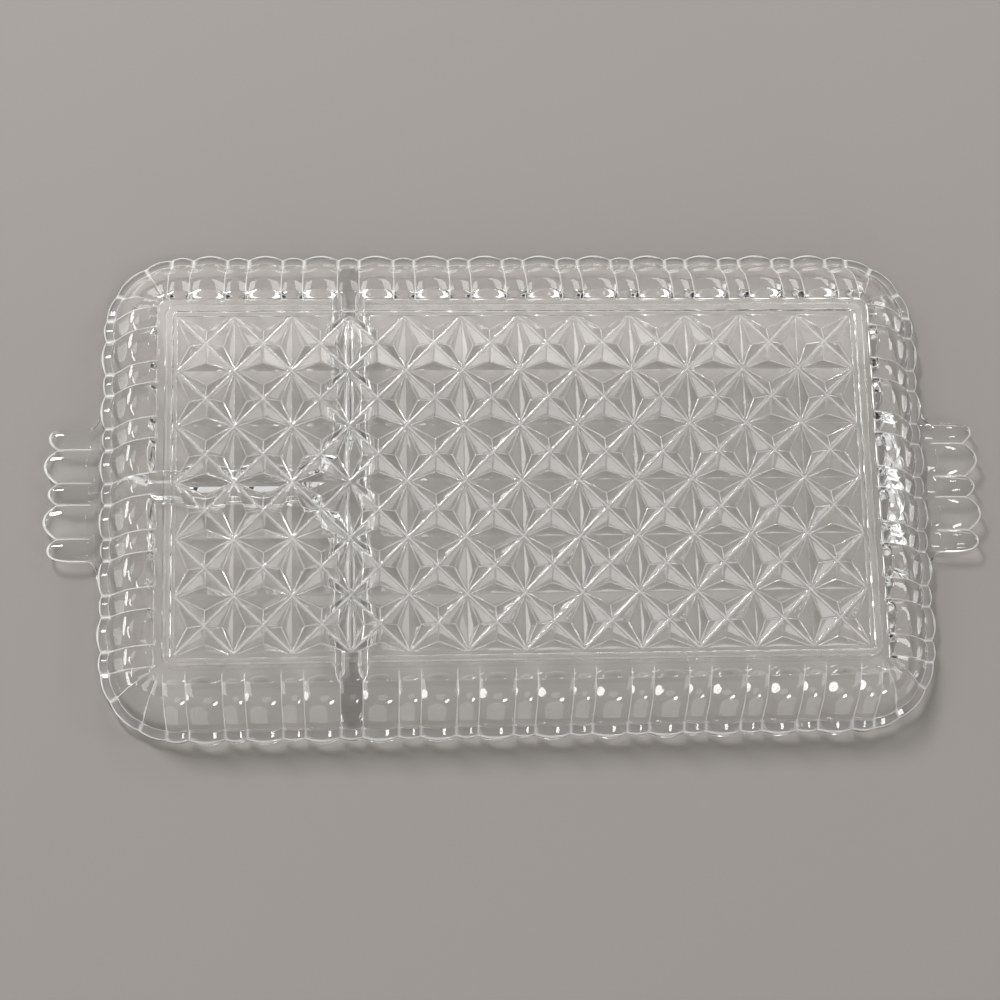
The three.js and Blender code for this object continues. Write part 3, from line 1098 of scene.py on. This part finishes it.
@dataclass(frozen=True)
class PressedGlass:
    """Clear soda-lime glass, pressed in an iron mould and fire-polished.

    The fire polish leaves it bright and smooth, with a slow waviness where the glass chilled against the
    mould. Years of sliding on tables frost the foot and the crests of the star ridges. Tight radii gather the
    room's light into fine bright lines. A render is too coarse for those, so pale lines marked on the mesh
    are painted highlights that stand in for them and scatter a part of the light, and a fainter painted light
    lies on the lip.
    """

    tint: str = "#FEFEFD"
    ior: float = 1.52
    polish: float = 0.012
    frost: float = 0.18
    scuffed_clearness: float = 0.7
    rub_depth: float = 0.014 * MM
    worn_crest_share: float = 0.7
    worn_foot_height: float = 0.05 * MM
    highlight_clearness: float = 0.35
    highlight_start: float = 0.7
    grazing_light: float = 0.05
    facing_light: float = 1.38
    wave_size: float = 11.0 * MM
    wave_height: float = 0.012 * MM
    wave_detail: float = 1.0
    chill_size: float = 1.8 * MM
    chill_height: float = 0.0012 * MM
    chill_detail: float = 2.0
    scuff_size: float = 1.1 * MM
    scuff_detail: float = 4.0
    scuff_roughness: float = 0.7
    scuff_patches: Point2 = (0.42, 0.62)

    WEAR = "wear"

    def material(self) -> bpy.types.Material:
        """Build the glass as a node material.

        Returns:
            The material, which reads the wear and the painted highlights marked on the mesh.
        """
        glass = bpy.data.materials.new("pressed_soda_lime_glass")
        glass.use_nodes = True
        tree = glass.node_tree
        tree.nodes.clear()
        place = add_node(tree, "ShaderNodeTexCoord").outputs["Object"]
        wear = add_node(tree, "ShaderNodeAttribute", attribute_name=self.WEAR).outputs["Fac"]
        scuffs = add_node(tree, "ShaderNodeTexNoise", {
            "Vector": place, "Scale": 1 / self.scuff_size, "Detail": self.scuff_detail,
            "Roughness": self.scuff_roughness})
        patches = add_node(tree, "ShaderNodeMapRange", {
            "Value": scuffs.outputs["Fac"], "From Min": self.scuff_patches[0],
            "From Max": self.scuff_patches[1]})
        worn = add_node(tree, "ShaderNodeMath", {0: wear, 1: patches.outputs["Result"]}, operation="MULTIPLY")
        rough = add_node(tree, "ShaderNodeMapRange", {
            "Value": worn.outputs["Value"], "To Min": self.polish, "To Max": self.frost})
        # Painted highlights: where marked, part of the light scatters off a pale diffuse share instead of
        # passing through.
        line = add_node(tree, "ShaderNodeAttribute", attribute_name=PAINTED_HIGHLIGHT).outputs["Fac"]
        crisp = add_node(tree, "ShaderNodeMapRange", {
            "Value": line, "From Min": self.highlight_start, "To Min": 1.0, "To Max": self.highlight_clearness})
        scuffed = add_node(tree, "ShaderNodeMapRange", {
            "Value": worn.outputs["Value"], "To Min": 1.0, "To Max": self.scuffed_clearness})
        clear = add_node(tree, "ShaderNodeMath", {
            0: crisp.outputs["Result"], 1: scuffed.outputs["Result"]}, operation="MINIMUM")
        waves = add_node(tree, "ShaderNodeTexNoise", {
            "Vector": place, "Scale": 1 / self.wave_size, "Detail": self.wave_detail})
        slow = add_node(tree, "ShaderNodeBump", {
            "Height": waves.outputs["Fac"], "Distance": self.wave_height, "Strength": 1.0})
        chill = add_node(tree, "ShaderNodeTexNoise", {
            "Vector": place, "Scale": 1 / self.chill_size, "Detail": self.chill_detail})
        fine = add_node(tree, "ShaderNodeBump", {
            "Height": chill.outputs["Fac"], "Distance": self.chill_height, "Strength": 1.0,
            "Normal": slow.outputs["Normal"]})
        rubbed = add_node(tree, "ShaderNodeMath", {0: wear, 1: scuffs.outputs["Fac"]}, operation="MULTIPLY")
        skin_bump = add_node(tree, "ShaderNodeBump", {
            "Height": rubbed.outputs["Value"], "Distance": self.rub_depth, "Strength": 1.0,
            "Normal": fine.outputs["Normal"]})
        shader = add_node(tree, "ShaderNodeBsdfPrincipled", {
            "Base Color": linear(self.tint), "IOR": self.ior,
            "Transmission Weight": clear.outputs["Value"],
            "Roughness": rough.outputs["Result"], "Normal": skin_bump.outputs["Normal"]})
        surface = self._with_lamp_light(tree, shader.outputs["BSDF"])
        add_node(tree, "ShaderNodeOutputMaterial", {"Surface": surface})
        return glass

    def _with_lamp_light(self, tree: bpy.types.NodeTree,
                         shader: bpy.types.NodeSocket) -> bpy.types.NodeSocket:
        """Let lamp light through the glass, more of it where a face is turned to the lamp.

        Args:
            tree: Node tree of the glass.
            shader: Output of the glass's own shader.

        Returns:
            Output of the shader that also lights what lies behind the glass.
        """
        turned = add_node(tree, "ShaderNodeLayerWeight", {"Blend": 0.5}).outputs["Facing"]
        share = add_node(tree, "ShaderNodeMapRange", {
            "Value": turned, "To Min": self.facing_light, "To Max": self.grazing_light})
        clear = add_node(tree, "ShaderNodeBsdfTransparent", {"Color": share.outputs["Result"]})
        to_lamp = add_node(tree, "ShaderNodeLightPath").outputs["Is Shadow Ray"]
        return add_node(tree, "ShaderNodeMixShader", {
            0: to_lamp, 1: shader, 2: clear.outputs["BSDF"]}).outputs["Shader"]

    def mark_wear(self, mesh: bpy.types.Mesh, stars: StarPattern) -> None:
        """Mark the foot and the crests of the star ridges, where the glass rubs on tables.

        Args:
            mesh: Mesh of the whole dish.
            stars: Pattern whose ridges are marked.
        """
        points = np.empty(len(mesh.vertices) * 3, np.float32)
        mesh.vertices.foreach_get("co", points)
        x, y, z = points.reshape(-1, 3).T
        inside = (abs(x) < stars.sizes.half_length) & (abs(y) < stars.sizes.half_width)
        crest = stars.ridge_z + stars.crest_depth(self.worn_crest_share * stars.crest_half_width)
        mark(mesh, self.WEAR, (inside & (z < crest)) | (z < self.worn_foot_height))


@dataclass
class Dish:
    """The whole pressing: every form of the dish joined into one body of glass."""

    sizes: DishSizes
    finish: PressedGlass
    crease_angle: float = math.radians(21)

    def build(self) -> bpy.types.Object:
        """Press the glass.

        Returns:
            The finished piece.
        """
        material = self.finish.material()
        repeater = Repeater()
        stars = StarPattern(self.sizes)
        wall = FlutedWall(self.sizes)
        dividers = Dividers(self.sizes, wall)
        handle = TabHandle(self.sizes, wall)
        bowl = wall.bowl(repeater, material)
        parts = [(stars.hollow(repeater, material), Join.CUT), (FootRing(self.sizes).build(), Join.ADD),
                 (dividers.cross(), Join.ADD), (dividers.branch(), Join.ADD),
                 (handle.build("right_tab", math.pi / 2), Join.ADD),
                 (handle.build("left_tab", -math.pi / 2), Join.ADD)]
        for part, join in parts:
            combine(bowl, part, join)
        glass = bpy.data.objects.new("dish_glass", evaluated_mesh(bowl, "dish_glass"))
        bpy.context.scene.collection.objects.link(glass)
        discard(bowl, *(part for part, _ in parts))
        self._polish(glass, material)
        self.finish.mark_wear(glass.data, stars)
        return glass

    def _polish(self, glass: bpy.types.Object, material: bpy.types.Material) -> None:
        """Smooth the shading between creases and let broad faces keep their own direction.

        Args:
            glass: The pressing, fresh from its joins.
            material: Finish that it gets.
        """
        with edited(glass.data) as shape:
            bmesh.ops.remove_doubles(shape, verts=shape.verts, dist=TOUCH)
            split_large_faces(shape)
        glass.data.shade_smooth()
        glass.data.set_sharp_from_angle(angle=self.crease_angle)
        glass.modifiers.new("Broad faces", "WEIGHTED_NORMAL").keep_sharp = True
        smooth = evaluated_mesh(glass, "dish_glass_polished")
        glass.modifiers.clear()
        glass.data = smooth
        glass.data.materials.clear()
        glass.data.materials.append(material)

    def dress(self, glass: bpy.types.Object) -> None:
        """Let the glass stand for every section of the frame.

        Args:
            glass: The finished piece.
        """
        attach(glass, "root")
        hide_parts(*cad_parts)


class Side(Enum):
    """The two sides that the dish is looked at from."""

    OVER = 1
    UNDER = -1


@dataclass(frozen=True)
class Softbox:
    """A soft lamp over one side of the dish, as seen by someone who looks at that side."""

    place: Point3
    size: Point2
    power: float
    sides: tuple[Side, ...] = (Side.OVER, Side.UNDER)


@dataclass
class Stage:
    """Pale sheets, soft lamps and the camera.

    Each side of the dish has its own sheet and lamps. A sheet shows only its face, so the dish is
    seen on a floor when it is looked down on, and on a table top when it is looked at from below.
    The first softbox is the key lamp and the next four fill. The low ones that follow give the walls
    and the facets their reflections.
    """

    sizes: DishSizes
    sheet_colour: str = "#A8A39E"
    world_colour: str = "#FFFFFF"
    world_strength: float = 0.10
    room_strength: float = 0.70
    sheet_size: float = 12.0
    sheet_gap: float = 0.2 * MM
    lit_reach: Point2 = (0.5, 1.2)
    room_reach: Point2 = (1.0, 6.0)
    camera_place: Point3 = (-55.6 * MM, 154.9 * MM, -677.7 * MM)
    camera_aim: Point3 = (-7.9 * MM, 7.2 * MM, 1.5 * MM)
    camera_roll: float = math.radians(-1.4)
    lens: float = 72.0
    softboxes: tuple[Softbox, ...] = (
        Softbox((-0.90, 1.60, 1.50), (0.50, 0.50), 40.0),
        Softbox((0.80, -1.30, 1.80), (0.40, 0.40), 6.4),
        Softbox((0.70, 1.80, 1.44), (0.36, 0.36), 5.6),
        Softbox((1.80, 0.72, 1.44), (0.36, 0.36), 5.6),
        Softbox((-1.70, 0.72, 1.56), (0.36, 0.36), 5.6),
        Softbox((0.14, -1.88, 0.68), (1.00, 0.48), 2.0),
        Softbox((-1.46, -1.18, 0.68), (1.00, 0.48), 4.4),
        Softbox((1.62, -1.06, 0.50), (1.00, 0.48), 2.8, (Side.UNDER,)),
        Softbox((1.92, 0.42, 0.26), (1.00, 0.48), 6.0),
        Softbox((-1.90, 0.42, 0.42), (1.00, 0.48), 3.2),
        Softbox((-1.10, 1.66, 0.26), (1.00, 0.48), 4.0),
        Softbox((0.60, 1.90, 0.26), (1.00, 0.48), 4.0),
        Softbox((-1.90, -0.10, 0.10), (0.90, 0.14), 3.6),
        Softbox((0.72, -1.84, 0.16), (0.40, 0.24), 4.8),
    )

    FLOOR_LAYERS = 1
    TABLE_LAYERS = 2

    def _sheet(self, side: Side) -> None:
        """Lay the sheet that is seen from one side of the dish.

        A path from the camera first passes the backs of the near sheet's layers: one layer of the
        floor, or two of the table top. That count tells each sheet which side is being looked at,
        so only the far one shows, also in the glass. Light that left a sheet passes both.

        Args:
            side: Side of the dish that the sheet is seen from.
        """
        half = self.sheet_size / 2
        layers = self.FLOOR_LAYERS if side is Side.OVER else self.TABLE_LAYERS
        start = 0.0 if side is Side.OVER else self.sizes.height
        points, faces = [], []
        for layer in range(1, layers + 1):
            z = start - side.value * layer * self.sheet_gap
            corners = [(-half, -half, z), (half, -half, z), (half, half, z), (-half, half, z)]
            faces.append([len(points) + k for k in range(4)][::side.value])
            points += corners
        sheet = mesh_object(f"sheet_{side.name.lower()}", points, faces)
        sheet.data.materials.append(self._paper(side))
        sheet.visible_shadow = False
        sheet.visible_diffuse = False

    def _paper(self, side: Side) -> bpy.types.Material:
        """Make the matt paper of one sheet.

        Args:
            side: Side of the dish that the sheet is seen from.

        Returns:
            A material that is clear on every path that should not see the sheet.
        """
        paper = bpy.data.materials.new(f"matt_paper_{side.name.lower()}")
        paper.use_nodes = True
        tree = paper.node_tree
        tree.nodes.clear()
        near = add_node(tree, "ShaderNodeBsdfDiffuse", {"Color": linear(self.sheet_colour)})
        place = add_node(tree, "ShaderNodeTexCoord").outputs["Object"]
        distance = add_node(tree, "ShaderNodeVectorMath", {0: place}, operation="LENGTH").outputs["Value"]
        away = add_node(tree, "ShaderNodeMapRange", {
            "Value": distance, "From Min": self.room_reach[0], "From Max": self.room_reach[1]})
        tone = add_node(tree, "ShaderNodeMix", {
            "Factor": away.outputs["Result"], "A": linear(self.sheet_colour),
            "B": [self.room_strength * c for c in linear(self.world_colour)[:3]] + [1.0]}, data_type="RGBA")
        far = add_node(tree, "ShaderNodeEmission", {"Color": tone.outputs["Result"]})
        fade = add_node(tree, "ShaderNodeMapRange", {
            "Value": distance, "From Min": self.lit_reach[0], "From Max": self.lit_reach[1]},
            interpolation_type="SMOOTHSTEP")
        matt = add_node(tree, "ShaderNodeMixShader", {
            0: fade.outputs["Result"], 1: near.outputs[0], 2: far.outputs[0]})
        clear = add_node(tree, "ShaderNodeBsdfTransparent")
        back = add_node(tree, "ShaderNodeNewGeometry").outputs["Backfacing"]
        path = add_node(tree, "ShaderNodeLightPath").outputs
        from_below = add_node(tree, "ShaderNodeMath", {
            0: path["Transparent Depth"], 1: self.FLOOR_LAYERS, 2: 0.5}, operation="COMPARE").outputs[0]
        if side is Side.UNDER:
            from_below = add_node(tree, "ShaderNodeMath", {
                0: 1.0, 1: from_below}, operation="SUBTRACT").outputs[0]
        hidden = add_node(tree, "ShaderNodeMath", {0: back, 1: from_below}, operation="MAXIMUM")
        passed = add_node(tree, "ShaderNodeMath", {
            0: hidden.outputs[0], 1: path["Diffuse Depth"]}, operation="MAXIMUM", use_clamp=True)
        mix = add_node(tree, "ShaderNodeMixShader", {
            0: passed.outputs[0], 1: matt.outputs[0], 2: clear.outputs[0]})
        add_node(tree, "ShaderNodeOutputMaterial", {"Surface": mix.outputs[0]})
        return paper

    def _lamps(self, side: Side) -> None:
        """Hang the softboxes on one side of the dish.

        Args:
            side: Side that they light.
        """
        half_turn = Matrix.Rotation(0.0 if side is Side.OVER else math.pi, 3, "X")
        for number, box in enumerate(box for box in self.softboxes if side in box.sides):
            lamp = bpy.data.lights.new(f"softbox_{side.name.lower()}_{number}", "AREA")
            lamp.shape = "ELLIPSE"
            lamp.size, lamp.size_y = box.size
            lamp.energy = box.power
            self._shine_once(lamp)
            holder = bpy.data.objects.new(lamp.name, lamp)
            holder.location = half_turn @ Vector(box.place)
            holder.rotation_euler = (-holder.location).to_track_quat("-Z", "Y").to_euler()
            holder.visible_camera = False
            bpy.context.scene.collection.objects.link(holder)

    def _shine_once(self, lamp: bpy.types.Light) -> None:
        """Count a lamp's light on a sheet once, as the glass already lets it through.

        Args:
            lamp: Softbox that gets its own nodes.
        """
        lamp.use_nodes = True
        tree = lamp.node_tree
        tree.nodes.clear()
        bounced = add_node(tree, "ShaderNodeLightPath").outputs["Diffuse Depth"]
        first = add_node(tree, "ShaderNodeMath", {0: bounced, 1: 0.5}, operation="LESS_THAN")
        glow = add_node(tree, "ShaderNodeEmission", {"Strength": first.outputs["Value"]})
        add_node(tree, "ShaderNodeOutputLight", {"Surface": glow.outputs["Emission"]})

    def _world(self) -> None:
        """Fill the room with even soft light, and show its pale walls to the camera and in the glass."""
        world = bpy.data.worlds.new("studio")
        world.use_nodes = True
        tree = world.node_tree
        tree.nodes.clear()
        path = add_node(tree, "ShaderNodeLightPath").outputs
        mirrored = add_node(tree, "ShaderNodeMath", {
            0: path["Is Glossy Ray"], 1: path["Is Transmission Ray"]}, operation="MAXIMUM")
        seen = add_node(tree, "ShaderNodeMath", {
            0: path["Is Camera Ray"], 1: mirrored.outputs["Value"]}, operation="MAXIMUM")
        direct = add_node(tree, "ShaderNodeMath", {
            0: seen.outputs["Value"], 1: path["Diffuse Depth"]}, operation="SUBTRACT", use_clamp=True)
        strength = add_node(tree, "ShaderNodeMapRange", {
            "Value": direct.outputs["Value"], "To Min": self.world_strength, "To Max": self.room_strength})
        glow = add_node(tree, "ShaderNodeBackground", {
            "Color": linear(self.world_colour), "Strength": strength.outputs["Result"]})
        add_node(tree, "ShaderNodeOutputWorld", {"Surface": glow.outputs["Background"]})
        bpy.context.scene.world = world

    def _camera(self) -> None:
        """Set the camera where the photograph was taken from."""
        camera = bpy.data.cameras.new("photo_camera")
        camera.lens = self.lens
        holder = bpy.data.objects.new(camera.name, camera)
        place = Vector(self.camera_place)
        forward = (Vector(self.camera_aim) - place).normalized()
        right = forward.cross(Vector((0, -1, 0))).normalized()
        level = Matrix((right, right.cross(forward), -forward)).transposed()
        turn = level @ Matrix.Rotation(self.camera_roll, 3, "Z")
        holder.matrix_world = Matrix.Translation(place) @ turn.to_4x4()
        bpy.context.scene.collection.objects.link(holder)
        bpy.context.scene.camera = holder

    def build(self) -> None:
        """Set up both sides, the room and the camera."""
        for side in Side:
            self._sheet(side)
            self._lamps(side)
        self._world()
        self._camera()
        bpy.context.scene.view_settings.view_transform = "Standard"


def main() -> None:
    """Build the dish and its stage."""
    logging.basicConfig(level=logging.INFO, format="%(name)s: %(message)s")
    sizes = DishSizes.from_frame()
    dish = Dish(sizes, PressedGlass())
    glass = dish.build()
    dish.dress(glass)
    LOG.info("%s: %d faces", glass.name, len(glass.data.polygons))
    Stage(sizes).build()


if __name__ == "__main__":
    main()
